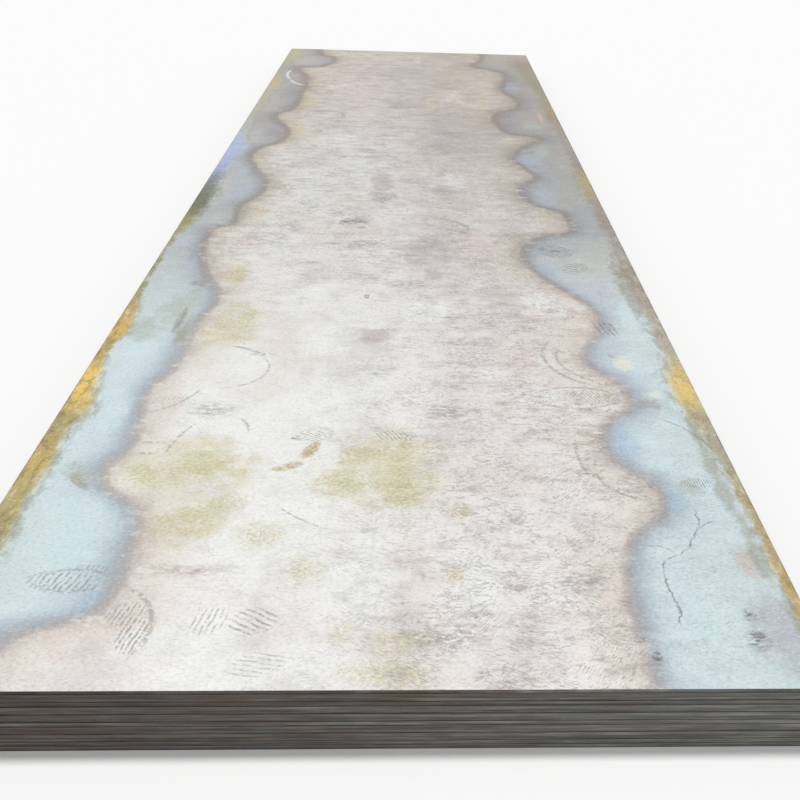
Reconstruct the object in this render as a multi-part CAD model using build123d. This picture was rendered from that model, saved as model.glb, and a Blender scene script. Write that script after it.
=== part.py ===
from build123d import *
import math
import os

# A stack of flat steel sheets, cut to one length from a wide rolled coil.
# Millimetres. X runs across the sheets, Y along them and Z up.
# The origin is on the ground, under the middle of the stack.

# One sheet
sheet_length = 6000
sheet_width = 1500
sheet_thickness = 8

# The long edges are as rolled: each one bulges outward in a single arc
mill_edge_bulge = 1.6

# The ends are sheared: a rounded lip where the blade pressed in, then a smooth
# upright band, then a torn face that leans inward to a sharp corner
lip_radius = 1.0
smooth_band = 2.4
torn_lean = 0.7

# The stack: how far its sheets wander across and along it, and how far they turn, in degrees
sheet_count = 15
side_wander = 10
end_wander = 3
twist_wander = 0.05

# Uneven steps that never fall into a rhythm, one for each way a sheet can wander
side_step = (math.sqrt(5) - 1) / 2
end_step = math.sqrt(2) - 1
twist_step = math.sqrt(3) - 1


def rotated_pair(half_outline):
    """Close an outline from one half and the same half turned about the middle."""
    return make_face(half_outline + Rot(0, 0, 180) * half_outline)


def side_view():
    """Length by thickness. One end has its lip on top, and the other has it below,
    because a shear presses into the two sides of its cut from opposite faces."""
    end = -sheet_length / 2
    top = sheet_thickness / 2
    band_top = top - lip_radius
    torn_top = band_top - smooth_band
    sheared_end = Polyline((end + torn_lean, -top), (end, torn_top), (end, band_top))
    lip = CenterArc((end + lip_radius, band_top), lip_radius, start_angle=90, arc_size=90)
    upper_face = Line((end + lip_radius, top), (-end - torn_lean, top))
    return rotated_pair(sheared_end + lip + upper_face)


def end_view():
    """Width by thickness, with a rolled edge on each side."""
    side = sheet_width / 2
    top = sheet_thickness / 2
    bulge_start = side - mill_edge_bulge
    lower_face = Line((-bulge_start, -top), (bulge_start, -top))
    mill_edge = ThreePointArc((bulge_start, -top), (side, 0), (bulge_start, top))
    return rotated_pair(lower_face + mill_edge)


def cut_sheet():
    """One flat sheet, its middle at the origin: both views carried through each other."""
    sheared_strip = extrude(Plane.YZ * side_view(), amount=sheet_width, both=True)
    rolled_strip = extrude(Plane.XZ * end_view(), amount=sheet_length, both=True)
    return sheared_strip & rolled_strip


def wander(layer, step, spread):
    """An uneven shift for a layer, from -spread / 2 to spread / 2."""
    return spread * ((layer * step) % 1 - 0.5)


def stacked_sheet(sheet, layer):
    """The sheet laid face to face on those below it, a little out of line with them."""
    across = wander(layer, side_step, side_wander)
    along = wander(layer, end_step, end_wander)
    turn = wander(layer, twist_step, twist_wander)
    height = (layer + 0.5) * sheet_thickness
    return Pos(across, along, height) * Rot(0, 0, turn) * sheet


def centred(sheets):
    """Move the whole stack so that its box stands over the origin."""
    middle = Compound(sheets).bounding_box().center()
    return [Pos(-middle.X, -middle.Y, 0) * sheet for sheet in sheets]


def sheet_name(layer):
    """sheet_01 lies on the ground, and top_sheet shows its face."""
    if layer == sheet_count - 1:
        return "top_sheet"
    return f"sheet_{layer + 1:02d}"


one_sheet = cut_sheet()
stack = centred([stacked_sheet(one_sheet, layer) for layer in range(sheet_count)])

os.makedirs("parts", exist_ok=True)
for layer, sheet in enumerate(stack):
    export_step(sheet, f"parts/{sheet_name(layer)}.step")
    print(sheet_name(layer), sheet.bounding_box())
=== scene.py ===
# %% [markdown]
# A stack of fifteen flat steel plates lies on the floor, 1.5 m wide and 6 m long. Every plate is a solid
# of the imported model, so the script shapes and moves none: what it makes is the finish of the steel.
# That is most of the work here, because the object is plain in shape and rich in surface. The frame comes
# first.

# %% Load the imported stack
import math

import bpy
from mathutils import Matrix, Vector


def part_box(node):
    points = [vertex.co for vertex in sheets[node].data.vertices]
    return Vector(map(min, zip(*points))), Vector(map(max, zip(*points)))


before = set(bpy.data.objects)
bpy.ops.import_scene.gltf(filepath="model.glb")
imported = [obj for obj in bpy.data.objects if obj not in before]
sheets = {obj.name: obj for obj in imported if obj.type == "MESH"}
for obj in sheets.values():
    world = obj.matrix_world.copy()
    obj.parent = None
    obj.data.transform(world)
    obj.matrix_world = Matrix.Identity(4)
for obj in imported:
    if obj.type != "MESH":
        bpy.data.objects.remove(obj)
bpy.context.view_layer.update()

sheet_low, sheet_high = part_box("top_sheet")
print("nodes", len(sheets), "top sheet", tuple(sheet_low), tuple(sheet_high))

# %% [markdown]
# The camera looks down on the stack from 1.2 m above its face and 1.3 m in front of its near end. Its place
# and angles fit the four straight edges of the top face and the lower edge of the near end. The picture was
# cut out a little to one side of the lens axis, so the camera has a small shift. It also leans slightly.

# %% Camera
SENSOR_MM = 36
PICTURE_PIXELS = 800
FOCAL_PIXELS = 1102.4
LENS_AXIS_PIXEL = 477.3
CAMERA_PLACE = Vector((0.0581, -4.3376, 1.2963))
CAMERA_DOWN = math.radians(26.515)
CAMERA_RIGHT = math.radians(3.652)
CAMERA_ROLL = math.radians(2.278)
FAR_CLIP = 200


def make_camera():
    """The photograph's view, as turns about Z, then X, then the line of sight."""
    data = bpy.data.cameras.new("camera")
    data.sensor_width = SENSOR_MM
    data.lens = SENSOR_MM * FOCAL_PIXELS / PICTURE_PIXELS
    data.shift_x = (PICTURE_PIXELS / 2 - LENS_AXIS_PIXEL) / PICTURE_PIXELS
    data.clip_end = FAR_CLIP
    camera = bpy.data.objects.new("camera", data)
    aim = Matrix.Rotation(-CAMERA_RIGHT, 4, "Z") @ Matrix.Rotation(math.pi / 2 - CAMERA_DOWN, 4, "X")
    camera.matrix_world = Matrix.Translation(CAMERA_PLACE) @ aim @ Matrix.Rotation(CAMERA_ROLL, 4, "Z")
    bpy.context.scene.collection.objects.link(camera)
    bpy.context.scene.camera = camera
    return camera


camera = make_camera()
print("lens", round(camera.data.lens, 1), "mm, shift", round(camera.data.shift_x, 3))

# %% [markdown]
# A finish is made of masks, numbers that say how much of a stain or a scratch lies at each point. Math
# nodes add and multiply them, and such sums read best as sums. `Field` wraps the output of a node and takes
# over Python's operators, so that `1 - mask` or `a * b + c` adds its Math nodes by itself. Colours never go
# through a Math node, which would turn them grey: they are laid on each other with Mix nodes.

# %% Sums on surfaces
def math_node(operation, swapped=False):
    """A method that adds one Math node, with the field as its second number if swapped."""

    def method(self, other=0.0):
        first, second = (other, self) if swapped else (self, other)
        return self.paint.node("ShaderNodeMath", {"operation": operation}, {0: first, 1: second})

    return method


class Field:
    """The output of a node, which Python can do sums with."""

    def __init__(self, paint, socket):
        self.paint = paint
        self.socket = socket

    __add__ = math_node("ADD")
    __radd__ = math_node("ADD", swapped=True)
    __sub__ = math_node("SUBTRACT")
    __rsub__ = math_node("SUBTRACT", swapped=True)
    __mul__ = math_node("MULTIPLY")
    __truediv__ = math_node("DIVIDE")
    __abs__ = math_node("ABSOLUTE")
    root = math_node("SQRT")
    floor = math_node("FLOOR")
    fraction = math_node("FRACT")
    least = math_node("MINIMUM")
    most = math_node("MAXIMUM")

    def rise(self, start, end):
        """0 before start and 1 after end, with a soft change between. Start may be the larger."""
        settings = {"interpolation_type": "SMOOTHSTEP"}
        return self.paint.node("ShaderNodeMapRange", settings, {0: self, 1: start, 2: end})


# %% [markdown]
# The inks of this steel are written as a screen would show them, in six hexadecimal digits. Blender mixes
# colours as amounts of light, so the digits first go backwards through the curve that screens use.

# %% Colours from the way they are usually written
def colour(code):
    """A colour of light from six hexadecimal digits, by the sRGB curve."""
    screen = [int(code[i : i + 2], 16) / 255 for i in (0, 2, 4)]
    light = [c / 12.92 if c < 0.04045 else ((c + 0.055) / 1.055) ** 2.4 for c in screen]
    return (*light, 1.0)


print("middle grey as light", [round(c, 3) for c in colour("808080")])

# %% [markdown]
# A shader is a tree of nodes with links between their sockets. One method makes every node here. It gives
# the node its own settings before its sockets, because some settings bring sockets in or take them out, as
# the dimensions of a noise do. A socket that is given a `Field` gets a link, and any other gets the value.

# %% A node tree under construction
class Nodes:
    """One node tree, of a material or of the sky."""

    def __init__(self, tree):
        self.tree = tree
        self.tree.nodes.clear()

    def node(self, kind, settings=None, sockets=None, output=0):
        """A new node, as the output of it that is asked for."""
        made = self.tree.nodes.new(kind)
        for name, value in (settings or {}).items():
            if name == "stops":
                set_stops(made.color_ramp, value)
            elif name == "curve":
                set_curve(made.mapping, value)
            elif name == "mapping":
                set_mapping(made.texture_mapping, *value)
            else:
                setattr(made, name, value)
        for key, value in (sockets or {}).items():
            if isinstance(value, Field):
                self.tree.links.new(value.socket, made.inputs[key])
            else:
                made.inputs[key].default_value = value
        return Field(self, made.outputs[output]) if made.outputs else None


# %% [markdown]
# A material is such a tree with a few things ready in it: where the point lies on the stack, which way its
# face looks, soft noise, and a steel shader for the end. Pictures could be wrapped round the plates, but
# noise in metres stays sharp from any distance and needs no unwrapping.

# %% A material under construction
class Paint(Nodes):
    """One material. Place is the point on the object in metres, and x, y and z are its parts."""

    noise_space = "3D"

    def __init__(self, name):
        self.material = bpy.data.materials.new(name)
        self.material.use_nodes = True
        super().__init__(self.material.node_tree)
        self.clouds = {}
        self.place = self.node("ShaderNodeTexCoord", output="Object")
        self.x, self.y, self.z = self.parts(self.place)
        facing = self.parts(self.node("ShaderNodeTexCoord", output="Normal"))
        self.facing_side, self.facing_up = facing[0], facing[2]

    def parts(self, vector):
        """The x, y and z of a vector."""
        split = self.node("ShaderNodeSeparateXYZ", None, {0: vector}).socket.node
        return [Field(self, split.outputs[i]) for i in range(3)]

    def gradient(self, kind, location, size, turn=0.0):
        """LINEAR is x from 0 to 1. SPHERICAL is 1 at the location and 0 from the size on."""
        settings = {"gradient_type": kind, "mapping": (location, size, turn)}
        return self.node("ShaderNodeTexGradient", settings, {0: self.place}, output=1)

    def blend(self, mask, under, over):
        """Colour over laid on colour under, where mask is 1."""
        inks = [colour(ink) if isinstance(ink, str) else ink for ink in (under, over)]
        sockets = {0: mask, 6: inks[0], 7: inks[1]}
        return self.node("ShaderNodeMix", {"data_type": "RGBA"}, sockets, output=2)

    def ramp(self, field, stops):
        """Inks for a field from 0 to 1, which run into each other from stop to stop."""
        return self.node("ShaderNodeValToRGB", {"stops": stops}, {0: field})

    def cloud(self, size, detail=3.0, stretch=(1, 1, 1), seed=0.0, rough=0.55, turn=0.0):
        """Soft noise about 0.5. Size is that of its blobs, in metres, and stretch draws them out.
        A cloud that is asked for again is the same node, so that it is worked out once."""
        key = (size, detail, tuple(stretch), seed, rough, turn)
        if key not in self.clouds:
            shift = [seed * size * step for step in (7, 5, 3)]
            settings = {"noise_dimensions": self.noise_space, "mapping": (shift, stretch, turn)}
            sockets = {"Vector": self.place, "Scale": 1 / size, "Detail": detail, "Roughness": rough}
            self.clouds[key] = self.node("ShaderNodeTexNoise", settings, sockets)
        return self.clouds[key]

    def shader(self, surface, metallic, roughness, height=None, depth=0.001):
        """One steel finish. Height is 0 to 1, and depth is what it stands for in metres."""
        sockets = {"Base Color": surface, "Metallic": metallic, "Roughness": roughness}
        if height is not None:
            sockets["Normal"] = self.node("ShaderNodeBump", None, {"Height": height, "Distance": depth})
        return self.node("ShaderNodeBsdfPrincipled", None, sockets)

    def finish(self, shader):
        """Join the shader to the material's output."""
        self.node("ShaderNodeOutputMaterial", None, {"Surface": shader})
        return self.material


def set_mapping(mapping, location, scale, turn):
    """The mapping that a texture node has of its own: it measures from a location, in the scale."""
    mapping.vector_type = "TEXTURE"
    mapping.translation = location
    mapping.scale = scale
    mapping.rotation = (0, 0, math.radians(turn))


def set_stops(ramp, stops):
    """Stops are places from 0 to 1 with their colour codes."""
    while len(ramp.elements) < len(stops):
        ramp.elements.new(0.5)
    for element, (place, code) in zip(ramp.elements, stops):
        element.position = place
        element.color = colour(code)


def set_curve(mapping, points):
    """One smooth curve through points from (0, y) to (1, y)."""
    line = mapping.curves[0]
    line.points[0].location = points[0]
    line.points[1].location = points[-1]
    for point in points[1:-1]:
        line.points.new(*point)
    mapping.update()


# %% [markdown]
# All of the top face is painted in plan, so its paint measures across and along from the near left corner
# of the plate. Three shapes are enough for what lies on it: ovals for stains and smudges, strokes for
# scuffs and scratches, and lines that run along the plate. An oval is a spherical Gradient node, placed and
# sized by the mapping that every texture node has of its own. Mapping or Vector Math nodes would do as
# well, but a hundred of them, worked out for every point of light, would make the render many times slower.
# For the same reason the plate is painted in two stretches, each with only the shapes that reach it.

# %% Shapes on the top face
PLATE_LENGTH = 6.0
PLATE_WIDTH = 1.5
SLOPE_STEP = 0.02


class TopFace(Paint):
    """Paint for the top plate: across and along are metres from its near left corner."""

    noise_space = "2D"

    def __init__(self, name):
        super().__init__(name)
        corner = self.spot(0, 0)
        self.across = self.gradient("LINEAR", corner, (PLATE_WIDTH, 1, 1)) * PLATE_WIDTH
        self.along = self.gradient("LINEAR", corner, (PLATE_LENGTH, 1, 1), 90) * PLATE_LENGTH
        self.fray = (self.cloud(0.09, 6, seed=61.0, rough=0.68) - 0.5) * 2.2
        self.stretch = (0.0, PLATE_LENGTH)

    def spot(self, across, along):
        """A point of the top face, in the stack's own frame."""
        return (sheet_low.x + across, sheet_low.y + along, sheet_high.z)

    def reaches(self, along, length):
        """True if a shape of this length touches the stretch that is being painted."""
        start, end = self.stretch
        return start < along + length and along - length < end

    def highest(self, fields):
        """The highest of several fields, or None of none."""
        highest = None
        for field in fields:
            highest = field if highest is None else highest.most(field)
        return highest

    def oval(self, across, along, width, length, turn=0.0):
        """1 in the middle of an oval and 0 from its edge on."""
        return self.gradient("SPHERICAL", self.spot(across, along), (width / 2, length / 2, 1), turn)

    def lay(self, base, ink, strength, spots, full=0.75, where=None):
        """Ink over the base in ovals with ragged, soft outlines."""
        near = self.highest(self.oval(*spot) for spot in spots if self.reaches(spot[1], spot[3]))
        if near is None:
            return base
        mask = (near + self.fray * near.rise(0.0, 0.3)).rise(0.0, full) * strength
        return self.blend(mask if where is None else mask * where, base, ink)

    def stroke(self, start, end, bend, width):
        """Above 0 on a thin arc from start to end that bends to its left by a share of its length."""
        first, run = Vector(start), Vector(end) - Vector(start)
        length = run.length
        rise = bend * length
        radius = (rise * rise + length * length / 4) / (2 * abs(rise))
        to_left = Vector((-run.y, run.x)) / length
        middle = first + run / 2
        centre = middle + to_left * (rise - math.copysign(radius, rise))
        # This disc fades out at twice the radius, so it is 0.5 all along the arc
        disc = self.oval(*centre, radius * 4, radius * 4)
        limit = middle + to_left * rise / 2
        turn = math.degrees(math.atan2(run.y, run.x))
        around = self.oval(*limit, length * 1.15, abs(rise) * 1.5 + width * 8, turn)
        return around.least(0.4) - abs(disc - 0.5) * (radius * 0.8 / width)

    def strokes(self, rows):
        """1 on several arcs."""
        here = [row for row in rows if self.reaches(row[0][1], abs(row[0][1] - row[1][1]) + 0.05)]
        return self.highest(self.stroke(*row) for row in here).rise(0.0, 0.3)

    def curve_at(self, along, points):
        """How far across a line lies at this distance along the plate."""
        scaled = [(y / PLATE_LENGTH, max(x, 0) / PLATE_WIDTH) for y, x in points]
        sockets = {"Value": along / PLATE_LENGTH}
        return self.node("ShaderNodeFloatCurve", {"curve": scaled}, sockets) * PLATE_WIDTH

    def border_distance(self, along, across, points):
        """Metres from a border, above 0 on its right."""
        slope = self.curve_at(along + SLOPE_STEP, points) - self.curve_at(along - SLOPE_STEP, points)
        slope = slope / (2 * SLOPE_STEP)
        return (across - self.curve_at(along, points)) / (slope * slope + 1.0).root()

    def along_ramp(self, inks):
        """A ramp of colour over the distance along the plate, in metres."""
        stops = [(metres / PLATE_LENGTH, code) for metres, code in inks]
        return self.ramp(self.along / PLATE_LENGTH, stops)


top = TopFace("tinted_steel")
near_to_far = top.along.rise(1.3, 4.4)
print("near left corner", top.spot(0, 0))

# %% [markdown]
# The plain middle of the plate is pickled steel, almost white near the camera, which is partly a painted
# reflection of the bright sky, and warmer and greyer farther off, where it kept more of its scale. Two
# ramps along the plate, one for its left and middle and one for its right, hold that slow change. Large
# clouds of warm, cool and grey drift over them, and then come the patches that stand in a place of their
# own: each group has one ink and its ovals.

# %% The plain middle
# Both ramps are palest at the near end, partly as painted reflection of the sky.
MIDDLE_INKS = [
    # metres along the plate, and the ink there
    (0.0, "f5f5f2"), (1.1, "f1f2ee"), (1.9, "e5e4df"), (2.8, "dcdbd5"), (3.5, "d6d4ce"), (4.2, "d1c7c2"),
    (5.0, "cbc0bd"), (5.6, "ccc3b9"), (6.0, "cac4b4"),
]
RIGHT_INKS = [
    (0.0, "edeae5"), (0.7, "e9e6e1"), (1.3, "e5e0db"), (2.0, "d4cdc8"), (2.8, "d3ccc5"), (3.4, "c0b6b0"),
    (4.2, "baaea6"), (5.0, "beb2a7"), (5.6, "b9ae9f"), (6.0, "b3ab9a"),
]
CLOUDS = [
    # size, stretch along, seed, where it starts and is full, ink, strength
    (0.40, 1.8, 3.1, 0.50, 0.68, "d9cbc0", 0.35),
    (0.22, 2.0, 12.7, 0.52, 0.70, "bdb3af", 0.32),
]
PATCHES = {
    # ink, strength, and ovals as across, along, width, length and, if they have one, turn
    # This group and the next are painted highlights: the sheen of the steel, laid into its colour.
    "painted pale sheen": ("f0f2ee", 0.8, [
        (0.6, 1.02, 0.32, 0.5), (0.82, 1.57, 0.26, 0.26), (0.71, 0.3, 0.26, 0.4),
        (0.56, 0.05, 0.46, 0.16), (0.42, 0.1, 0.3, 0.16), (0.5, 1.66, 0.2, 0.4), (0.37, 1.18, 0.2, 0.22),
        (0.56, 1.36, 0.18, 0.3), (1.13, 1.03, 0.12, 0.12), (0.55, 0.4, 0.3, 0.3),
        (0.94, 0.27, 0.14, 0.24), (0.55, 0.62, 0.16, 0.24), (1.18, 1.63, 0.2, 0.26),
    ]),
    "painted far sheen": ("e0e1dc", 0.7, [
        (0.42, 2.7, 0.32, 0.8), (0.54, 3.15, 0.26, 0.6), (0.74, 2.52, 0.18, 0.3), (0.48, 3.6, 0.34, 0.48),
        (0.37, 2.16, 0.16, 0.3), (0.94, 2.95, 0.18, 0.3), (0.34, 2.96, 0.18, 0.7), (0.8, 5.72, 0.07, 0.3),
    ]),
    "grey mauve": ("b5aaa7", 0.62, [
        (0.74, 5.25, 0.54, 0.5), (0.78, 4.4, 0.44, 0.4), (0.95, 3.74, 0.26, 0.34),
        (0.67, 2.88, 0.12, 0.7), (0.84, 2.1, 0.26, 0.4), (0.91, 3.75, 0.2, 0.9), (0.9, 3.48, 0.24, 0.2),
        (0.7, 1.4, 0.14, 0.16), (0.88, 1.88, 0.16, 0.12), (0.62, 2.42, 0.1, 0.16),
        (0.9, 2.84, 0.14, 0.14),
    ]),
    "rose halo": ("e0d0ca", 0.6, [
        (0.22, 1.0, 0.12, 0.34), (0.24, 0.13, 0.2, 0.18), (1.08, 1.28, 0.12, 0.3),
        (1.21, 0.68, 0.14, 0.4), (1.16, 0.24, 0.07, 0.36), (0.44, 4.72, 0.3, 0.9), (0.98, 4.55, 0.2, 0.6),
        (1.0, 2.15, 0.24, 0.4), (0.4, 0.32, 0.18, 0.08), (0.24, 2.16, 0.16, 0.34),
        (0.52, 4.05, 0.26, 0.4),
    ]),
    "stain wash": ("d8d2ae", 0.75, [
        (0.33, 0.69, 0.4, 0.34), (0.74, 0.68, 0.34, 0.44), (0.35, 0.49, 0.24, 0.26),
        (0.28, 1.46, 0.22, 0.44), (0.27, 0.54, 0.14, 0.26), (0.26, 1.86, 0.12, 0.3),
    ]),
    "straw": ("d5c9a8", 0.6, [
        (0.27, 1.46, 0.12, 0.34), (0.25, 1.86, 0.11, 0.26), (0.25, 2.48, 0.12, 0.3),
        (0.17, 3.2, 0.06, 0.4), (0.25, 3.78, 0.1, 0.5), (0.27, 4.38, 0.14, 0.4), (0.87, 4.4, 0.09, 0.46),
        (1.19, 4.9, 0.12, 0.8), (0.22, 5.12, 0.12, 0.4), (1.28, 2.48, 0.08, 0.26),
        (0.34, 0.47, 0.14, 0.2), (1.13, 5.76, 0.1, 0.2), (1.14, 4.3, 0.1, 0.7), (1.26, 3.68, 0.16, 0.14),
    ]),
}


def plain_steel(top):
    """Pale steel with warm, cool and grey clouds in it."""
    base = top.blend(top.across.rise(0.62, 1.00), top.along_ramp(MIDDLE_INKS), top.along_ramp(RIGHT_INKS))
    for size, stretch, seed, start, full, ink, strength in CLOUDS:
        mask = top.cloud(size, 4, stretch=(1, stretch, 1), seed=seed).rise(start, full)
        base = top.blend(mask * strength, base, ink)
    for ink, strength, spots in PATCHES.values():
        base = top.lay(base, ink, strength, spots)
    return base


print("clouds", len(CLOUDS), "patches", sum(len(spots) for ink, strength, spots in PATCHES.values()))

# %% [markdown]
# While the coil cooled, air crept in from both long edges and tinted the steel: blue where it was hottest,
# then a thin mauve line where the tint stops, and a straw halo past that. The line runs in lobes, one for
# each swell of the coil's wraps. A picture could hold it, but a curve is sharper at any distance, and can
# be read and changed: each border is one Float Curve through points that give how far along the plate, and
# how far across from its left edge, the line lies. The slope of the curve turns the step across into the
# true distance from the line, and every colour of the tint then follows from that distance.

# %% Where the tint stops
LEFT_BORDER = [
    # metres along the plate, and how far across the border lies
    (0.0, 0.1), (0.14, 0.162), (0.185, 0.255), (0.23, 0.281), (0.42, 0.283), (0.5, 0.272), (0.55, 0.24),
    (0.61, 0.182), (0.67, 0.166), (0.77, 0.194), (0.9, 0.187), (1.05, 0.172), (1.16, 0.203),
    (1.25, 0.211), (1.45, 0.213), (1.62, 0.236), (1.7, 0.232), (1.76, 0.205), (1.9, 0.16), (2.05, 0.126),
    (2.2, 0.116), (2.29, 0.12), (2.36, 0.18), (2.53, 0.168), (2.7, 0.218), (2.8, 0.228), (2.9, 0.22),
    (3.02, 0.176), (3.12, 0.146), (3.27, 0.114), (3.4, 0.128), (3.5, 0.19), (3.6, 0.22), (3.7, 0.221),
    (3.82, 0.196), (3.95, 0.144), (4.04, 0.126), (4.1, 0.132), (4.15, 0.175), (4.25, 0.196),
    (4.45, 0.202), (4.6, 0.196), (4.72, 0.205), (5.0, 0.186), (5.1, 0.174), (5.2, 0.135), (5.28, 0.11),
    (5.34, 0.114), (5.39, 0.225), (5.53, 0.292), (5.63, 0.3), (5.72, 0.288), (5.79, 0.215), (5.9, 0.194),
    (6.0, 0.182),
]
RIGHT_BORDER = [
    (0.0, 1.195), (0.25, 1.199), (0.35, 1.21), (0.42, 1.233), (0.49, 1.29), (0.57, 1.321), (0.62, 1.314),
    (0.7, 1.256), (0.78, 1.234), (0.86, 1.239), (0.93, 1.275), (0.99, 1.324), (1.06, 1.329),
    (1.13, 1.309), (1.2, 1.268), (1.27, 1.256), (1.33, 1.267), (1.42, 1.303), (1.53, 1.328), (1.61, 1.32),
    (1.7, 1.285), (1.8, 1.235), (1.9, 1.19), (2.0, 1.165), (2.08, 1.16), (2.17, 1.177), (2.24, 1.217),
    (2.29, 1.29), (2.34, 1.35), (2.42, 1.355), (2.55, 1.34), (2.61, 1.284), (2.7, 1.228), (2.78, 1.213),
    (2.87, 1.219), (2.95, 1.244), (3.02, 1.286), (3.1, 1.277), (3.2, 1.252), (3.32, 1.223), (3.42, 1.24),
    (3.52, 1.277), (3.62, 1.327), (3.69, 1.366), (3.74, 1.335), (3.78, 1.243), (3.87, 1.204),
    (3.97, 1.194), (4.06, 1.18), (4.2, 1.2), (4.27, 1.233), (4.33, 1.3), (4.45, 1.329), (4.57, 1.323),
    (4.72, 1.287), (4.84, 1.271), (4.95, 1.28), (5.1, 1.302), (5.2, 1.31), (5.33, 1.308), (5.41, 1.266),
    (5.47, 1.18), (5.54, 1.137), (5.62, 1.142), (5.7, 1.185), (5.85, 1.205), (6.0, 1.21),
]
print("border points", len(LEFT_BORDER), len(RIGHT_BORDER))

# %% [markdown]
# The tint is a ramp of colour over the distance from its border, in three versions that change over along
# the plate: bright sky blue near the camera, slate in the middle and mauve grey far off. Clouds widen and
# narrow the ramp, so that no two lobes match.

# %% The heat tint
TINT_REACH = 0.2
# Metres from the border, below 0 in the band, and the ink there in each version
TINT_PLACES = [-0.18, -0.12, -0.08, -0.05, -0.03, -0.014, -0.002, 0.01, 0.024, 0.045, 0.08, 0.13]
NEAR_TINT = "cfdfe0 d1e3e8 cfe1e6 c8d9e0 b9c8d1 aab4bd aaabae bdb3ad cfc5bc dfd7cc e7e1d7 ebe7df".split()
MIDDLE_TINT = "b8bbb6 b3b8b8 b0b7ba a9b0b5 9ca2a8 8d9092 8a8684 988e84 ac9f8e c4b9a6 d2c9ba d8d1c8".split()
FAR_TINT = "b2aaa2 a7a5a6 a19e9f 999593 8e8886 837a76 83776c 90806e a4937b baab91 c9bda9 cec3b6".split()
SHADED_INK = "706b6d"


def tint_ramp(top, place, tint):
    """One version of the tint. Place is 0.5 on the border."""
    stops = [((metres + TINT_REACH) / (2 * TINT_REACH), code) for metres, code in zip(TINT_PLACES, tint)]
    return top.ramp(place, stops)


def tint_distance(top):
    """Metres from the nearer border, below 0 in the tinted bands."""
    ripple = (top.cloud(0.06, 7, seed=21.0, rough=0.68) - 0.5) * 0.026
    across = top.across + ripple
    left = top.border_distance(top.along, across, LEFT_BORDER)
    right = top.border_distance(top.along, across, RIGHT_BORDER)
    return left.least(0.0 - right)


def heat_tint(top, base, distance):
    """Both tinted bands with their border line and halo, laid on the plain steel."""
    width = top.cloud(0.35, 2, seed=41.0).rise(0.3, 0.7) * 0.6 + 0.75
    place = distance / width / (2 * TINT_REACH) + 0.5
    near = tint_ramp(top, place, NEAR_TINT)
    middle = tint_ramp(top, place, MIDDLE_TINT)
    far = tint_ramp(top, place, FAR_TINT)
    tint = top.blend(top.along.rise(1.2, 2.3), near, middle)
    tint = top.blend(top.along.rise(2.8, 4.1), tint, far)
    # A darker grey over the right band, from about 1.9 m along, fading out towards the far end.
    shaded = top.across.rise(0.9, 1.1) * top.along.rise(1.9, 2.7) * top.along.rise(6.2, 5.2)
    tint = top.blend(shaded * 0.40, tint, SHADED_INK)
    broken = top.cloud(0.12, 4, seed=50.0).rise(0.25, 0.7) * 0.5 + 0.4
    cover = distance.rise(0.034, 0.008).most(distance.rise(0.15, 0.02) * broken)
    return top.blend(cover, base, tint)


distance = tint_distance(top)
inside = distance.rise(0.0, -0.02)
print("nodes so far in the paint of the top plate", len(top.tree.nodes))

# %% [markdown]
# Each band has a second change of colour in it, which follows the plate and not the border: pale sky blue
# at the near end, a blue violet bloom on the left, grey and green where scale was left, and brown at the
# far right. Each ink is laid in a few ovals, in the same way as the patches of the middle.

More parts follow.
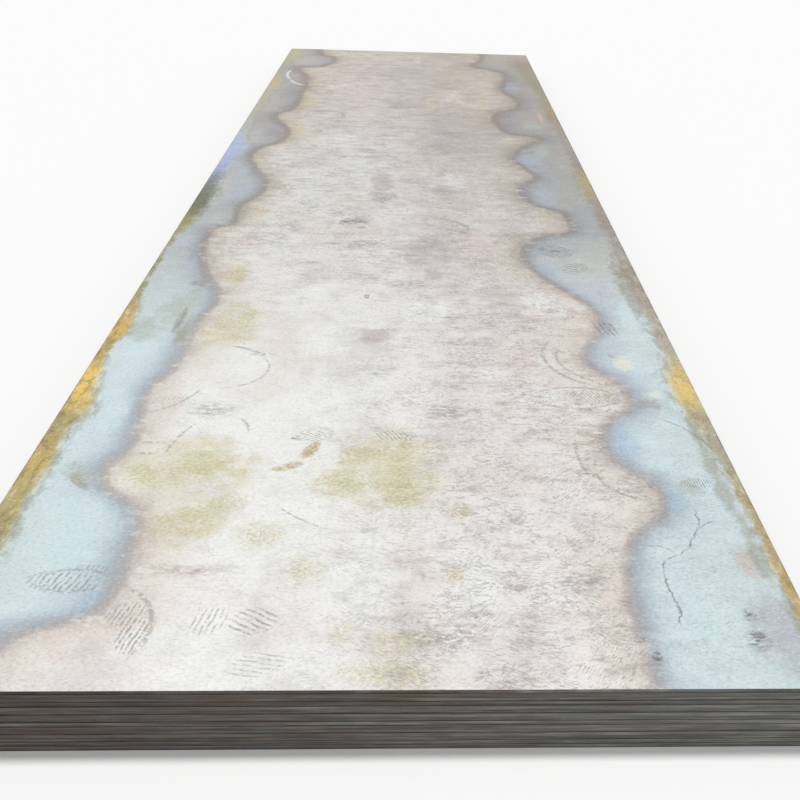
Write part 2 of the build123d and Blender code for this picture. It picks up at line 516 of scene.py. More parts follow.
# %% Patches in the tinted bands
BAND_PATCHES = {
    "sky": ("d2e6eb", 0.75, [
        (0.16, 0.42, 0.18, 0.4), (0.11, 1.27, 0.13, 0.18), (1.34, 0.78, 0.16, 0.26),
        (1.32, 0.28, 0.18, 0.56), (1.41, 1.54, 0.07, 0.26), (0.12, 0.93, 0.09, 0.3),
    ]),
    "deep sky": ("a8c7dc", 0.6, [
        (1.28, 0.8, 0.08, 0.26), (1.34, 0.58, 0.07, 0.14), (0.26, 0.23, 0.07, 0.1),
    ]),
    "lavender": ("bfc4d6", 0.6, [
        (1.34, 1.76, 0.14, 0.26), (1.34, 1.34, 0.12, 0.14), (0.05, 2.15, 0.08, 0.2),
    ]),
    "lilac": ("b0b2be", 0.6, [(1.435, 0.14, 0.13, 0.44), (1.435, 0.34, 0.07, 0.20)]),
    "steel blue": ("a6b4c4", 0.6, [
        (1.3, 2.75, 0.14, 0.4), (1.22, 1.9, 0.08, 0.26), (0.14, 2.78, 0.12, 0.34),
        (1.33, 4.88, 0.12, 0.44), (0.12, 1.92, 0.08, 0.2), (1.29, 3.3, 0.18, 0.5),
    ]),
    "green grey": ("acb6aa", 0.65, [
        (0.14, 1.55, 0.16, 0.36), (0.08, 1.42, 0.14, 0.22), (0.19, 1.42, 0.06, 0.24),
        (0.13, 2.46, 0.12, 0.24), (0.12, 0.66, 0.08, 0.14, 35), (0.17, 1.66, 0.08, 0.16),
        (1.35, 3.48, 0.13, 0.26), (1.35, 3.96, 0.13, 0.3), (1.39, 0.62, 0.1, 0.1),
    ]),
    "dull scale": ("9c9a98", 0.6, [
        (0.17, 1.77, 0.07, 0.06), (1.34, 1.47, 0.05, 0.1), (1.37, 1.0, 0.12, 0.08), (1.38, 5.3, 0.1, 0.4),
        (0.2, 5.42, 0.1, 0.12),
    ]),
    "olive brown": ("a59c88", 0.75, [
        (1.28, 5.72, 0.3, 0.5), (1.44, 5.3, 0.1, 0.8), (1.42, 4.3, 0.1, 0.5), (1.44, 4.75, 0.08, 0.5),
    ]),
    "umber": ("7d7365", 0.5, [
        (1.33, 4.72, 0.16, 0.36), (1.34, 5.2, 0.16, 0.4), (1.43, 5.08, 0.12, 0.5),
        (1.17, 5.72, 0.14, 0.3),
    ]),
    # Darker grey patches, mostly in the far left band.
    "shade": ("7c7979", 0.5, [
        (0.16, 3.68, 0.14, 0.3), (0.15, 4.62, 0.16, 0.54), (0.16, 4.24, 0.12, 0.24),
        (1.24, 4.2, 0.1, 0.2),
    ]),
    "peach": ("dcc8bc", 0.5, [(1.415, 4.12, 0.04, 0.36), (1.43, 0.33, 0.05, 0.22)]),
    "olive line": ("94967c", 0.6, [
        (0.165, 1.47, 0.03, 0.2), (0.19, 1.37, 0.05, 0.2), (0.125, 0.63, 0.03, 0.12, 35),
        (1.458, 0.4, 0.044, 0.46), (1.45, 0.62, 0.05, 0.4), (1.452, 0.8, 0.05, 0.3),
        (1.48, 0.18, 0.05, 0.3), (1.44, 1.8, 0.04, 0.5),
    ]),
    "lemon": ("ecefd4", 0.75, [(1.345, 1.235, 0.070, 0.11), (1.395, 1.06, 0.05, 0.06)]),
}
VIOLET_BLOOM = [(0.00, 3.22, 0.20, 0.70), (0.04, 3.44, 0.12, 0.26)]
VIOLET_INK = "b3bfe6"
print("patches in the bands", sum(len(spots) for ink, strength, spots in BAND_PATCHES.values()))

# %% [markdown]
# Along both outer edges runs a stripe of rust and oil, olive and golden on the left and tan on the right,
# with bright golden flames in a few places. Its ink and its width change along the plate: the ink is a ramp
# over that distance, and the width a curve. Noise frays its inner side and flecks it dark and pale: the
# pale flecks are painted glints.

# %% Stripes along the edges
LEFT_STRIPE = [
    # metres along the plate, and the ink there
    (0.4, "998c54"), (0.58, "b5a35c"), (0.7, "c4a648"), (0.8, "b49b4e"), (0.9, "a39448"),
    (0.98, "d6b652"), (1.06, "f0ca50"), (1.14, "eec852"), (1.21, "bd9f48"), (1.31, "ab9542"),
    (1.41, "dcb142"), (1.52, "c09c3e"), (1.62, "a8964e"), (1.72, "979460"), (1.86, "9c9d80"),
    (2.05, "a8a67e"), (2.24, "a39a60"), (2.36, "938a3a"), (2.46, "686a2c"), (2.56, "525829"),
    (2.68, "535e42"), (2.84, "65736c"), (3.02, "8290a8"), (3.36, "a9b9de"), (3.66, "b4bccb"),
    (3.95, "b3b59d"), (4.3, "b6b09e"), (4.7, "b5b094"), (4.86, "c3b680"), (5.02, "b8b088"),
    (5.3, "a6a092"), (5.8, "bdb48c"),
]
RIGHT_STRIPE = [
    (0.1, "c2a768"), (0.3, "bca062"), (0.48, "b09a66"), (0.68, "b0a584"), (0.84, "a6a28e"),
    (0.96, "bcac7e"), (1.05, "e2c360"), (1.16, "e4c568"), (1.27, "bcae8e"), (1.4, "b4ab9c"),
    (1.6, "a69d90"), (1.88, "958b7f"), (2.12, "a19e97"), (2.42, "8e877c"), (2.66, "988f83"),
    (2.82, "a39668"), (3.0, "ad9d5e"), (3.12, "a29270"), (3.26, "8c8376"), (3.55, "9c958b"),
    (3.95, "998c7e"), (4.2, "9a896e"), (4.55, "9c9470"), (4.85, "908a78"), (5.25, "959078"),
    (5.65, "94897a"), (5.95, "b3a694"),
]
LEFT_STRIPE_WIDTH = [
    # metres along the plate, and the width there
    (0.0, 0.05), (0.7, 0.05), (0.8, 0.045), (0.92, 0.066), (1.02, 0.056), (1.14, 0.036), (1.26, 0.03),
    (1.4, 0.042), (1.55, 0.034), (1.66, 0.022), (1.9, 0.016), (2.2, 0.018), (2.38, 0.044), (2.6, 0.06),
    (2.8, 0.056), (3.0, 0.04), (3.4, 0.05), (3.9, 0.036), (4.6, 0.05), (4.9, 0.06), (5.15, 0.034),
    (5.6, 0.07), (6.0, 0.06),
]
RIGHT_STRIPE_WIDTH = [
    (0.0, 0.02), (0.35, 0.02), (0.55, 0.028), (0.7, 0.028), (0.9, 0.05), (1.12, 0.058), (1.28, 0.04),
    (1.42, 0.036), (1.62, 0.046), (1.92, 0.056), (2.2, 0.04), (2.45, 0.038), (2.62, 0.04), (2.86, 0.05),
    (3.08, 0.044), (3.5, 0.034), (3.8, 0.036), (4.05, 0.052), (4.3, 0.058), (4.62, 0.048), (5.0, 0.06),
    (5.5, 0.11), (6.0, 0.13),
]
DARK_FLECK = "6d6036"
PALE_FLECK = "f0dfa0"
RIM_INK = "83846c"
WORN_INK = "5d4f36"


def edge_stripe(top, base, from_edge, inks, widths, flecks):
    """Rust and oil along one long edge, ragged on its inner side, and how much of it there is."""
    shift = (top.cloud(0.05, 6, stretch=(1, 3, 1), seed=71.0, rough=0.65) - 0.5) * 0.06
    deep = (from_edge + shift) / top.curve_at(top.along, widths)
    cover = deep.rise(1.35, 0.60)
    ink = top.along_ramp(inks)
    fleck = top.cloud(0.022, 5, stretch=(1, 2.5, 1), seed=83.0, rough=0.65)
    flecks = (top.along.rise(2.5, 2.0) * 0.85 + 0.15) * flecks
    ink = top.blend(fleck.rise(0.50, 0.66) * flecks, ink, DARK_FLECK)
    # The pale flecks are painted glints, light caught by the rust.
    ink = top.blend(fleck.rise(0.46, 0.32) * flecks * 0.8, ink, PALE_FLECK)
    rim = deep.rise(0.75, 1.05) * deep.rise(1.7, 1.1)
    base = top.blend(rim * fleck.rise(0.42, 0.58) * 0.5, base, RIM_INK)
    base = top.blend(cover * 0.95, base, ink)
    # A broken dark line at the very edge is painted shade, the shadow seen along the rim of the plate.
    worn_rim = from_edge.rise(0.007, 0.002) * top.cloud(0.08, 4, seed=87.0).rise(0.40, 0.60)
    return top.blend(worn_rim * 0.6, base, WORN_INK), cover


def tinted_bands(top, base):
    """The patches in both bands, the stripe on the outer edge of each, and how much stripe there is."""
    for ink, strength, spots in BAND_PATCHES.values():
        base = top.lay(base, ink, strength, spots, where=inside)
    from_right = PLATE_WIDTH - top.across
    base, left = edge_stripe(top, base, top.across, LEFT_STRIPE, LEFT_STRIPE_WIDTH, 0.55)
    base, right = edge_stripe(top, base, from_right, RIGHT_STRIPE, RIGHT_STRIPE_WIDTH, 0.38)
    return top.lay(base, VIOLET_INK, 0.8, VIOLET_BLOOM, full=1.0), left.most(right)


print("inks along the edges", len(LEFT_STRIPE), len(RIGHT_STRIPE))

# %% [markdown]
# Oil has dried on the middle in yellow stains that are speckled rather than even, like water marks on
# paper. A stain is an oval mask times fine noise, so that the steel shows through its dots.

# %% Yellow stains
STAIN_SPOTS = [
    (0.36, 0.68, 0.26, 0.24), (0.24, 0.645, 0.18, 0.14), (0.445, 0.545, 0.16, 0.09),
    (0.35, 0.48, 0.16, 0.22), (0.7, 0.75, 0.24, 0.18), (0.79, 0.72, 0.14, 0.26), (0.66, 0.63, 0.18, 0.16),
    (0.78, 0.59, 0.15, 0.2), (0.785, 0.12, 0.16, 0.11), (0.775, 0.035, 0.28, 0.1),
    (0.515, 0.44, 0.13, 0.17), (0.61, 0.32, 0.12, 0.14), (0.895, 0.515, 0.08, 0.1),
    (0.265, 1.42, 0.16, 0.24), (0.69, 0.14, 0.08, 0.1), (0.33, 1.52, 0.16, 0.3), (0.26, 1.86, 0.12, 0.24),
    (0.36, 1.38, 0.14, 0.14), (0.88, 0.3, 0.06, 0.08),
]
SYRUP_STREAK = [
    (0.58, 0.75, 0.04, 0.14, -20), (0.553, 0.7, 0.036, 0.1, -52), (0.525, 0.682, 0.05, 0.03),
]
STAIN_INK = "c8be88"
SYRUP_INK = "b39c48"


def oil_stains(top, base):
    """The stains, and one darker streak of thick oil among them."""
    speckle = top.cloud(0.008, 4, seed=91.0, rough=0.65).rise(0.36, 0.62)
    base = top.lay(base, STAIN_INK, 0.80, STAIN_SPOTS, full=1.0, where=speckle * 0.85 + 0.05)
    return top.lay(base, SYRUP_INK, 0.95, SYRUP_STREAK, where=speckle * 0.5 + 0.5)


print("stains", len(STAIN_SPOTS) + len(SYRUP_STREAK))

# %% [markdown]
# The plates have been walked on and dragged about, and all of that only darkens the steel a little. A sole
# left a tread: an oval of slanting bars, each one broken by the grain of the steel. A Wave node draws such
# bars, its own mapping turns them, and some distortion keeps them from looking ruled.

# %% Treads
TREADS = [
    # across, along, width, length, turn, from bar to bar, slant of the bars in degrees, strength
    (0.195, 0.28, 0.16, 0.08, -8, 0.011, -6, 0.9),
    (0.228, 0.32, 0.1, 0.036, 0, 0.009, -12, 0.7),
    (0.325, 0.19, 0.08, 0.09, -30, 0.0085, 18, 0.8),
    (0.348, 0.132, 0.066, 0.11, 0, 0.0085, -12, 1.1),
    (0.466, 0.172, 0.07, 0.1, -20, 0.01, 10, 0.75),
    (0.54, 0.172, 0.11, 0.09, 30, 0.0125, 26, 0.85),
    (0.56, 0.06, 0.12, 0.08, 20, 0.011, 58, 0.65),
    (1.238, 1.035, 0.15, 0.095, -10, 0.009, 35, 0.75),
    (1.12, 1.03, 0.12, 0.09, 10, 0.009, -35, 0.5),
    (0.245, 0.985, 0.075, 0.13, -30, 0.009, 20, 0.6),
    (0.59, 0.835, 0.11, 0.09, 30, 0.0085, 30, 0.85),
    (0.765, 0.832, 0.12, 0.06, 0, 0.009, 30, 0.85),
    (1.4, 0.634, 0.085, 0.05, 0, 0.006, 5, 1.0),
    (1.335, 1.465, 0.08, 0.13, 20, 0.015, -8, 1.4),
    (1.265, 2.115, 0.13, 0.15, 30, 0.019, 20, 1.6),
    (1.31, 1.955, 0.14, 0.1, 60, 0.019, 10, 1.0),
    (0.86, 0.13, 0.23, 0.11, 0, 0.01, 80, 0.45),
    (1.08, 1.5, 0.12, 0.2, -30, 0.011, 60, 0.55),
    (0.34, 0.86, 0.08, 0.14, 10, 0.009, 20, 0.45),
]
# The bars of a Wave node of scale 1 lie this far apart
WAVE_REPEAT = math.pi / 10


def tread(top, across, along, width, length, turn, bar, slant):
    """The print of a sole: bars that slant over an oval."""
    mapping = (top.spot(across, along), (1, 1, 1), turn + slant)
    settings = {"wave_type": "BANDS", "bands_direction": "X", "mapping": mapping}
    sockets = {"Vector": top.place, "Scale": WAVE_REPEAT / bar, "Distortion": 3.0, "Detail": 2.0}
    wave = top.node("ShaderNodeTexWave", settings, sockets, output=1)
    return top.oval(across, along, width, length, turn).least(0.3) * wave


print("treads", len(TREADS))

# %% [markdown]
# Boots that turned left arcs, slings left smears, and along the right band runs a thin crack in the scale.
# An arc is a piece of a big circle, inside an oval that limits its length. The crack runs along the plate,
# so it is a Float Curve, as the borders are, made jagged by noise.

# %% Scuffs and the crack
SCUFFS = [
    # start, end, bend and width: how far it bends is a share of its length, and the width is in metres
    ((0.285, 0.278), (0.34, 0.06), 0.26, 0.008), ((0.13, 0.297), (0.262, 0.272), -0.23, 0.005),
    ((0.145, 0.3), (0.27, 0.3), 0.15, 0.005), ((0.215, 0.79), (0.27, 0.79), 0.02, 0.006),
    ((0.215, 0.742), (0.258, 0.742), 0.02, 0.005), ((0.318, 0.885), (0.276, 0.735), -0.05, 0.005),
    ((0.405, 0.915), (0.44, 0.84), 0.1, 0.006), ((0.385, 1.275), (0.3, 1.068), 0.45, 0.005),
    ((0.33, 1.312), (0.43, 1.245), 0.1, 0.01), ((0.385, 1.262), (0.455, 1.262), 0.02, 0.01),
    ((1.172, 1.385), (1.28, 1.09), -0.25, 0.007), ((1.195, 1.345), (1.275, 1.118), -0.22, 0.006),
    ((1.168, 0.83), (1.178, 0.66), -0.05, 0.007), ((1.197, 0.685), (1.3, 0.565), -0.22, 0.006),
    ((0.535, 0.54), (0.65, 0.45), -0.06, 0.004), ((0.84, 2.452), (0.985, 2.3), 0.25, 0.014),
    ((0.545, 0.83), (0.556, 0.804), 0.02, 0.01), ((0.77, 0.212), (0.808, 0.225), 0.05, 0.004),
    ((0.43, 1.945), (0.52, 1.965), 0.15, 0.012), ((0.5, 2.15), (0.56, 2.15), 0.03, 0.016),
    ((0.265, 4.15), (0.425, 4.165), 0.06, 0.016), ((0.425, 4.165), (0.44, 4.03), 0.12, 0.014),
    ((0.165, 1.58), (0.16, 1.4), 0.05, 0.01), ((1.375, 0.93), (1.47, 0.76), 0.12, 0.005),
    ((1.075, 1.03), (1.315, 1.035), 0.24, 0.005), ((1.075, 1.03), (1.315, 1.035), -0.24, 0.005),
    ((0.125, 0.29), (0.19, 0.315), 0.12, 0.004), ((0.3, 1.068), (0.2, 0.93), 0.1, 0.005),
    ((1.25, 0.398), (1.3, 0.38), 0.2, 0.004), ((1.372, 0.462), (1.412, 0.488), 0.15, 0.004),
]
CRACK = [
    # metres along the plate, and how far across the crack lies
    (0.0, 1.262), (0.165, 1.266), (0.215, 1.275), (0.26, 1.268), (0.345, 1.273), (0.365, 1.296),
    (0.39, 1.332), (0.43, 1.347), (0.47, 1.37), (0.55, 1.375), (6.0, 1.375),
]
CRACK_MIDDLE = 0.35
CRACK_REACH = 0.2
MARK_INK = "7a706e"
CRACK_INK = "66727a"


def crack_line(top):
    """One thin jagged line along the right band, from 0.15 to 0.55 m along the plate."""
    jagged = top.across + (top.cloud(0.02, 4, seed=101.0, rough=0.7) - 0.5) * 0.022
    off_line = abs(jagged - top.curve_at(top.along, CRACK))
    faint = top.cloud(0.03, 2, seed=103.0).rise(0.35, 0.55) * 0.6 + 0.4
    return off_line.rise(0.0028, 0.0008) * top.along.rise(0.15, 0.18) * top.along.rise(0.55, 0.50) * faint


def foot_marks(top):
    """Treads and scuffs, 1 where they are darkest."""
    here = [row for row in TREADS if top.reaches(row[1], row[3])]
    treads = top.highest(tread(top, *place) * strength for *place, strength in here)
    broken = top.cloud(0.013, 5, seed=113.0, rough=0.75).rise(0.38, 0.56)
    return treads.rise(0.08, 0.26).most(top.strokes(SCUFFS) * 0.80) * broken


def lay_marks(top, base, marks):
    """The foot marks, and the crack if it is in this stretch."""
    base = top.blend(marks * 0.60, base, MARK_INK)
    if top.reaches(CRACK_MIDDLE, CRACK_REACH):
        base = top.blend(crack_line(top) * 0.8, base, CRACK_INK)
    return base


print("scuffs", len(SCUFFS), "points of the crack", len(CRACK))

# %% [markdown]
# Where something stood on the steel or was pulled over it, a smudge is left. A few are small and dark, and
# most are wide and faint. They are ovals of speckled ink, as the stains are.

# %% Smudges
SMUDGES = [
    (0.59, 2.385, 0.12, 0.15), (0.665, 1.682, 0.022, 0.045), (1.322, 1.28, 0.02, 0.03),
    (1.212, 0.072, 0.03, 0.045), (1.39, 0.125, 0.06, 0.08), (1.395, 0.19, 0.03, 0.05),
    (0.62, 2.33, 0.06, 0.08), (0.54, 0.815, 0.02, 0.02), (1.22, 2.14, 0.05, 0.045),
    (1.262, 2.118, 0.06, 0.04),
]
FAINT_SMUDGES = [
    (0.64, 2.145, 0.18, 0.14), (0.91, 2.795, 0.22, 0.12), (1.1, 2.28, 0.34, 0.08),
    (1.0, 1.995, 0.16, 0.16), (0.355, 2.335, 0.12, 0.1), (0.272, 2.2, 0.11, 0.09),
    (0.175, 1.765, 0.11, 0.07), (0.715, 1.15, 0.11, 0.07), (0.74, 1.185, 0.08, 0.06),
    (0.885, 3.5, 0.24, 0.15), (0.96, 3.75, 0.24, 0.19), (0.345, 3.735, 0.08, 0.15),
    (0.345, 4.65, 0.1, 0.18), (1.05, 5.42, 0.22, 0.15), (0.77, 4.31, 0.3, 0.14), (0.695, 2.7, 0.12, 0.26),
    (1.115, 0.28, 0.12, 0.09), (0.505, 5.05, 0.12, 0.16), (0.65, 5.15, 0.22, 0.12),
    (0.94, 2.3, 0.18, 0.2), (0.64, 1.84, 0.22, 0.14), (0.8, 1.79, 0.24, 0.1), (0.94, 3.4, 0.16, 0.12),
    (0.42, 0.318, 0.2, 0.06), (0.87, 0.95, 0.16, 0.09), (0.86, 0.13, 0.22, 0.12), (1.0, 1.35, 0.12, 0.1),
    (0.34, 0.94, 0.14, 0.14),
]
SMUDGE_INK = "665f5c"
FAINT_INK = "837a78"
print("smudges", len(SMUDGES), "dark and", len(FAINT_SMUDGES), "faint")

# %% [markdown]
# Between the marks lies general wear: grey scribbles and hair scratches that are densest on the right half,
# and a mottle of scale in every size from a hand to a grain. One noise of eight octaves makes the mottle.
# The scribbles are contour lines: soft noise is 0.5 along winding lines, and close to that it draws one.
# Hair scratches are very fine noise, drawn out seven times one way and cut off high, so that only short
# straight slivers are left. Three directions of them lie over each other.

# %% Scribbles, scratches and grain
HAIR_SCRATCHES = [
    # turn in degrees, and seed
    (-38, 203.0), (52, 223.0), (82, 243.0),
]
SCALE_GREY = "9f9692"
RUBBED_WHITE = "f3f3ef"
DRAG_GREY = "9c9490"
WIPE_GREY = "928a87"
SCRATCH_GREY = "7d7572"
GRIT_GREY = "8c8480"
GLINT_WHITE = "fcfcf9"
crisp = top.cloud(0.0065, 4, stretch=(1.3, 1, 1), seed=181.0, rough=0.85)
grain = top.cloud(0.0035, 3, seed=111.0)


def scribbles(top, size, seed, thick):
    """Thin winding lines, in patches."""
    line = abs(top.cloud(size, 5, stretch=(2, 1, 1), seed=seed, rough=0.6) - 0.5).rise(thick, thick * 0.3)
    return line * top.cloud(0.13, 3, seed=seed + 8).rise(0.44, 0.60)


def hair_scratches(top, turn, seed):
    """Short straight scratches that all run one way, in patches."""
    line = top.cloud(0.0026, 4, stretch=(1, 7, 1), seed=seed, rough=0.6, turn=turn).rise(0.55, 0.66)
    return line * top.cloud(0.11, 4, seed=seed + 8, rough=0.6).rise(0.45, 0.62)


def general_wear(top, base):
    """Mottle, wipes across the plate, scribbles, scratches, smudges, grit and painted glints."""
    outside = 1.0 - inside * 0.6
    worn = (top.across.rise(0.45, 1.0).most(top.along.rise(1.2, 2.4)) * 0.75 + 0.25) * outside
    mottle = top.cloud(0.045, 8, stretch=(1.6, 1, 1), seed=117.0, rough=0.70)
    base = top.blend(mottle.rise(0.50, 0.72) * worn * 0.50, base, SCALE_GREY)
    base = top.blend(mottle.rise(0.49, 0.32) * outside * (0.40 - near_to_far * 0.24), base, RUBBED_WHITE)
    drag = top.cloud(0.055, 5, stretch=(3, 1, 1), seed=131.0, rough=0.62).rise(0.52, 0.68)
    base = top.blend(drag * near_to_far * outside * 0.45, base, DRAG_GREY)
    wipes = top.cloud(0.020, 4, stretch=(4, 1, 1), seed=161.0, rough=0.6).rise(0.53, 0.68)
    wiped = top.cloud(0.28, 3, stretch=(1.4, 1, 1), seed=165.0).rise(0.44, 0.60)
    base = top.blend(wipes * wiped * worn * 0.32, base, WIPE_GREY)
    lines = scribbles(top, 0.030, 123.0, 0.030) * 0.8
    for turn, seed in HAIR_SCRATCHES:
        lines = lines.most(hair_scratches(top, turn, seed))
    base = top.blend(lines * worn * 0.64, base, SCRATCH_GREY)
    specks = top.cloud(0.012, 5, stretch=(2, 1, 1), seed=171.0, rough=0.72).rise(0.40, 0.58)
    base = top.lay(base, FAINT_INK, 0.54, FAINT_SMUDGES, full=0.9, where=specks)
    base = top.lay(base, SMUDGE_INK, 0.85, SMUDGES, where=specks)
    base = top.blend(crisp.rise(0.50, 0.72) * 0.32, base, GRIT_GREY)
    # White specks of the same noise are painted glints.
    return top.blend(crisp.rise(0.49, 0.30) * 0.28, base, GLINT_WHITE)


print("directions of the hair scratches", [turn for turn, seed in HAIR_SCRATCHES])

# %% [markdown]
# Two marks are lighter than the steel: a white chip beside the right band, a painted highlight of the light
# it caught, and a bent chalk line far down the left band. They are strokes like the scuffs, in a pale ink.

# %% Pale marks
PALE_STROKES = [
    ((1.214, 0.856), (1.236, 0.853), 0.02, 0.007),
    ((0.200, 4.800), (0.105, 4.960), 0.10, 0.012),
    ((0.105, 4.960), (0.080, 5.260), 0.08, 0.012),
]
CHALK_INK = "e8e9e4"


def pale_marks(top, base):
    """The chip and the chalk line, over all that lies on the plate."""
    # The chip is a painted highlight, and the chalk line is chalk.
    return top.blend(top.strokes(PALE_STROKES) * 0.7, base, CHALK_INK)


print("pale strokes", len(PALE_STROKES))

# %% [markdown]
# The ends and long sides of every plate show no tint, because they were cut or rolled bare and then rusted
# lightly: grey brown at the ends, and browner along the sides. One function paints them for all plates.
# Noise drawn out fifty times along the edge makes its streaks. Which plate a point is on follows from its
# height, so each plate has its own tone, the joints get dirt and painted shade, and the sheared lip a
# painted highlight.

# %% Bare edges
SHEET_PITCH = sheet_high.z - sheet_low.z
# Lifts a point on the lower face of a plate clear of the plate below, in plates
LAYER_NUDGE = 0.001
END_INKS = [
    (0.22, "211d1a"), (0.36, "3d3731"), (0.46, "544e47"), (0.54, "66625b"), (0.64, "83817a"),
    (0.78, "aeada6"),
]
SIDE_INKS = [
    (0.2, "3b2c22"), (0.38, "5b4231"), (0.5, "6e5848"), (0.6, "7c6f63"), (0.7, "8f857a"),
    (0.85, "aca79e"),
]
COOL_CAST = "606c69"
WARM_CAST = "6b5139"
RUST_BLOOM = "7a4a2c"
JOINT_DIRT = "231f1c"


def layer_shade(paint, seed):
    """A number from 0 to 1 that is the same all over one plate."""
    layer = (paint.z / SHEET_PITCH + LAYER_NUDGE).floor()
    return paint.node("ShaderNodeTexWhiteNoise", {"noise_dimensions": "1D"}, {"W": layer + seed})


def bare_edge(paint, along_edge, stretch, inks, seed):
    """Streaky bare steel on an edge. Along_edge lightens or darkens it."""
    streak = paint.cloud(0.0045, 5, stretch=stretch, seed=seed, rough=0.72)
    blotch = paint.cloud(0.010, 5, stretch=[1 + (factor - 1) * 0.12 for factor in stretch], seed=seed + 5)
    shade = streak * 0.72 + blotch * 0.28 + (layer_shade(paint, seed) - 0.5) * 0.07 + along_edge
    return paint.ramp(shade, inks)


def joint_dirt(paint):
    """1 in the seams between plates."""
    height = (paint.z / SHEET_PITCH + LAYER_NUDGE).fraction()
    return height.rise(0.12, 0.02).most(height.rise(0.93, 0.99))


def edge_paint(paint):
    """Colour of the upright faces all round a plate. The ends are lighter to the right and low down."""
    # The rise low down is painted light, set against the shade that falls on the lower plates.
    drift = paint.x / PLATE_WIDTH * 0.20 - paint.z * 0.7 + 0.105
    end = bare_edge(paint, drift, (50, 1, 1), END_INKS, 7.0)
    cast = paint.cloud(0.006, 4, stretch=(24, 1, 1), seed=17.0) + paint.x * 0.09
    end = paint.blend(cast.rise(0.52, 0.66) * 0.55, end, COOL_CAST)
    end = paint.blend(cast.rise(0.46, 0.34) * 0.45, end, WARM_CAST)
    side = bare_edge(paint, 0.0, (1, 50, 1), SIDE_INKS, 29.0)
    bloom = paint.cloud(0.25, 4, stretch=(1, 2, 0.25), seed=43.0)
    side = paint.blend(bloom.rise(0.48, 0.66) * 0.6, side, RUST_BLOOM)
    on_side = abs(paint.facing_side).rise(0.35, 0.65)
    edge = paint.blend(on_side, end, side)
    # The seams are darkened with painted shade and dirt.
    return paint.blend(joint_dirt(paint) * 0.65, edge, JOINT_DIRT)


def lip_light(paint):
    """1 on the rounded lip that the shear leaves, where a highlight is painted."""
    upright = abs(paint.facing_up)
    return upright.rise(0.25, 0.6) * upright.rise(0.995, 0.9)


print("plates lie", round(SHEET_PITCH * 1000, 3), "mm apart")

# %% [markdown]
# Now the top plate gets its one material. Its upper face has the tint and the wear, painted in a near and a
# far stretch that show the same where they meet, and its upright faces have the bare edge. A Mix Shader
# whose factor is 0 or 1 leaves the other side of it unworked, which is what makes the stretches pay. Rust
# and foot marks are rougher than clean steel and the tint is a little smoother, so roughness follows the
# same masks, and the grain stands a tenth of a millimetre high.

# %% Finish the top plate
STRETCH_END = 1.75
STRETCH_SEAM = 0.0005
TOP_METAL = 0.2
TOP_ROUGHNESS = 0.54
GRAIN_HEIGHT = 0.0001
EDGE_METAL = 0.15
EDGE_ROUGHNESS = 0.62
TOP_LIP_INK = "d8d2ca"
UNDERSIDE_INK = "8c8c8a"
UNDERSIDE_STAIN = "6f665f"


def top_stretch(start, end):
    """The shader of the upper face, with only the shapes that touch this stretch."""
    top.stretch = (start, end)
    surface = heat_tint(top, plain_steel(top), distance)
    surface, rust = tinted_bands(top, surface)
    surface = general_wear(top, oil_stains(top, surface))
    marks = foot_marks(top)
    surface = pale_marks(top, lay_marks(top, surface, marks))
    roughness = TOP_ROUGHNESS + rust * 0.20 + marks * 0.10 - inside * 0.06 + (grain - 0.5) * 0.25
    return top.shader(surface, TOP_METAL, roughness, grain, GRAIN_HEIGHT)


near = top_stretch(0.0, STRETCH_END)
far = top_stretch(STRETCH_END, PLATE_LENGTH)
is_far = top.along.rise(STRETCH_END - STRETCH_SEAM, STRETCH_END + STRETCH_SEAM)
upper_face = top.node("ShaderNodeMixShader", None, {0: is_far, 1: near, 2: far})
underside = top.blend(top.cloud(0.3, 4, seed=191.0).rise(0.4, 0.65) * 0.5, UNDERSIDE_INK, UNDERSIDE_STAIN)
edges = top.blend(top.facing_up.rise(-0.4, -0.8), edge_paint(top), underside)
# A painted highlight on the rounded top lip of the plate.
edges = top.blend(top.facing_up.rise(0.30, 0.60) * 0.9, edges, TOP_LIP_INK)
edge_steel = top.shader(edges, EDGE_METAL, EDGE_ROUGHNESS)
on_top = top.facing_up.rise(0.55, 0.85)
top_steel = top.finish(top.node("ShaderNodeMixShader", None, {0: on_top, 1: edge_steel, 2: upper_face}))
print("nodes in the paint of the top plate", len(top.tree.nodes))

# %% [markdown]
# The plates below show only their edges, and a strip a few millimetres wide where one sticks out past the
# plate above. They share one paint. Its streaks are laid out in the stack's own frame, so they differ from
# plate to plate by themselves.

# %% Finish the plates below
FLAT_INK = "96938f"
FLAT_STAIN = "766c64"
LIP_INK = "a8a49b"
STACK_METAL = 0.25
STACK_ROUGHNESS = 0.5
STACK_GRAIN_HEIGHT = 0.00015
stack = Paint("stack_steel")
flat_ink = stack.blend(stack.cloud(0.25, 4, seed=201.0).rise(0.4, 0.65), FLAT_INK, FLAT_STAIN)
on_flat = abs(stack.facing_up).rise(0.7, 0.95)
# A painted highlight on the sheared lips.
stack_surface = stack.blend(lip_light(stack) * 0.45, edge_paint(stack), LIP_INK)
stack_surface = stack.blend(on_flat, stack_surface, flat_ink)
stack_grain = stack.cloud(0.0012, 3, stretch=(6, 6, 1), seed=211.0)
stack_rough = STACK_ROUGHNESS + stack_grain * 0.25
stack_shader = stack.shader(stack_surface, STACK_METAL, stack_rough, stack_grain, STACK_GRAIN_HEIGHT)
stack_steel = stack.finish(stack_shader)
print("nodes in the paint of the plates below", len(stack.tree.nodes))

# %% [markdown]
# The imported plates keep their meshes, so dressing them is only giving each its material: the tinted steel
# to the top plate, and the bare steel to the fourteen below.

# %% Dress the plates
for name, sheet in sheets.items():
    sheet.data.materials.clear()
    sheet.data.materials.append(top_steel if name == "top_sheet" else stack_steel)
print("dressed", len(sheets), "plates")

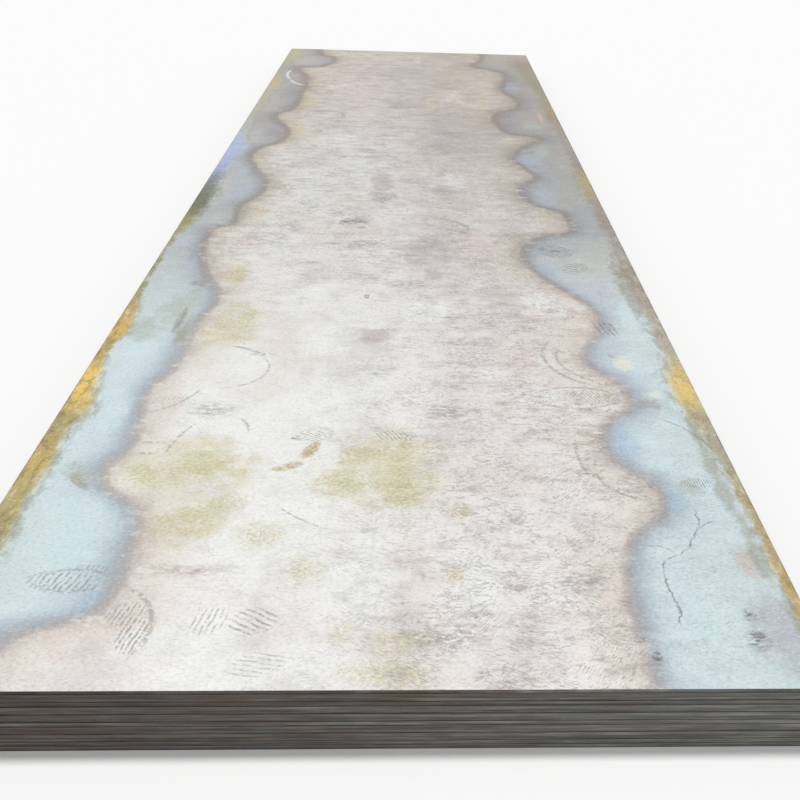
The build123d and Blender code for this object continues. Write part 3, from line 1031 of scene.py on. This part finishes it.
# %% [markdown]
# The floor is a wide pale sheet under an even sky, with one soft lamp high behind the stack, so that the
# near end lies in shade and throws a short shadow. The background has to look white without more light
# on the steel, so rays from the camera, and those mirrored in the steel, see a brighter sky and floor.

# %% Floor, sky and lamp
FLOOR_REACH = 60
FLOOR_WHITE = 0.97
FLOOR_GLOW = 0.13
SKY_STRENGTH = 0.30
LAMP_STRENGTH = 1.8
LAMP_TOWARDS = Vector((0.06, -0.20, -1.0))
LAMP_SOFTNESS = math.radians(11)


def between(shades, low, high):
    """Low for most rays, and high for those that have to see white: from the camera, a mirror or glass."""
    names = ("Is Camera Ray", "Is Glossy Ray", "Is Transmission Ray")
    seen, mirrored, through_glass = [shades.node("ShaderNodeLightPath", output=name) for name in names]
    return seen.most(mirrored).most(through_glass) * (high - low) + low


def make_sky():
    """An even white sky."""
    world = bpy.data.worlds.new("sky")
    world.use_nodes = True
    bpy.context.scene.world = world
    sky = Nodes(world.node_tree)
    sockets = {"Color": (1, 1, 1, 1), "Strength": between(sky, SKY_STRENGTH, 1.0)}
    light = sky.node("ShaderNodeBackground", None, sockets)
    sky.node("ShaderNodeOutputWorld", None, {"Surface": light})


def make_floor():
    """A wide matt sheet, with a faint glow for the rays that have to see white."""
    corners = [(-1, -1), (1, -1), (1, 1), (-1, 1)]
    mesh = bpy.data.meshes.new("floor")
    mesh.from_pydata([(x * FLOOR_REACH, y * FLOOR_REACH, 0) for x, y in corners], [], [(0, 1, 2, 3)])
    floor = bpy.data.objects.new("floor", mesh)
    bpy.context.scene.collection.objects.link(floor)
    material = bpy.data.materials.new("floor")
    material.use_nodes = True
    shades = Nodes(material.node_tree)
    matt = shades.node("ShaderNodeBsdfDiffuse", None, {"Color": (FLOOR_WHITE, FLOOR_WHITE, FLOOR_WHITE, 1)})
    glow = shades.node("ShaderNodeEmission", None, {"Strength": between(shades, 0.0, FLOOR_GLOW)})
    both = shades.node("ShaderNodeAddShader", None, {0: matt, 1: glow})
    shades.node("ShaderNodeOutputMaterial", None, {"Surface": both})
    mesh.materials.append(material)


def make_lamp():
    """One sun lamp that softens the rim of its shadow."""
    data = bpy.data.lights.new("high_lamp", "SUN")
    data.energy = LAMP_STRENGTH
    data.angle = LAMP_SOFTNESS
    lamp = bpy.data.objects.new("high_lamp", data)
    lamp.rotation_euler = LAMP_TOWARDS.to_track_quat("-Z", "Y").to_euler()
    bpy.context.scene.collection.objects.link(lamp)


make_sky()
make_floor()
make_lamp()
bpy.context.scene.view_settings.view_transform = "Standard"
print("sky", SKY_STRENGTH, "lamp", LAMP_STRENGTH, "floor", 2 * FLOOR_REACH, "m wide")
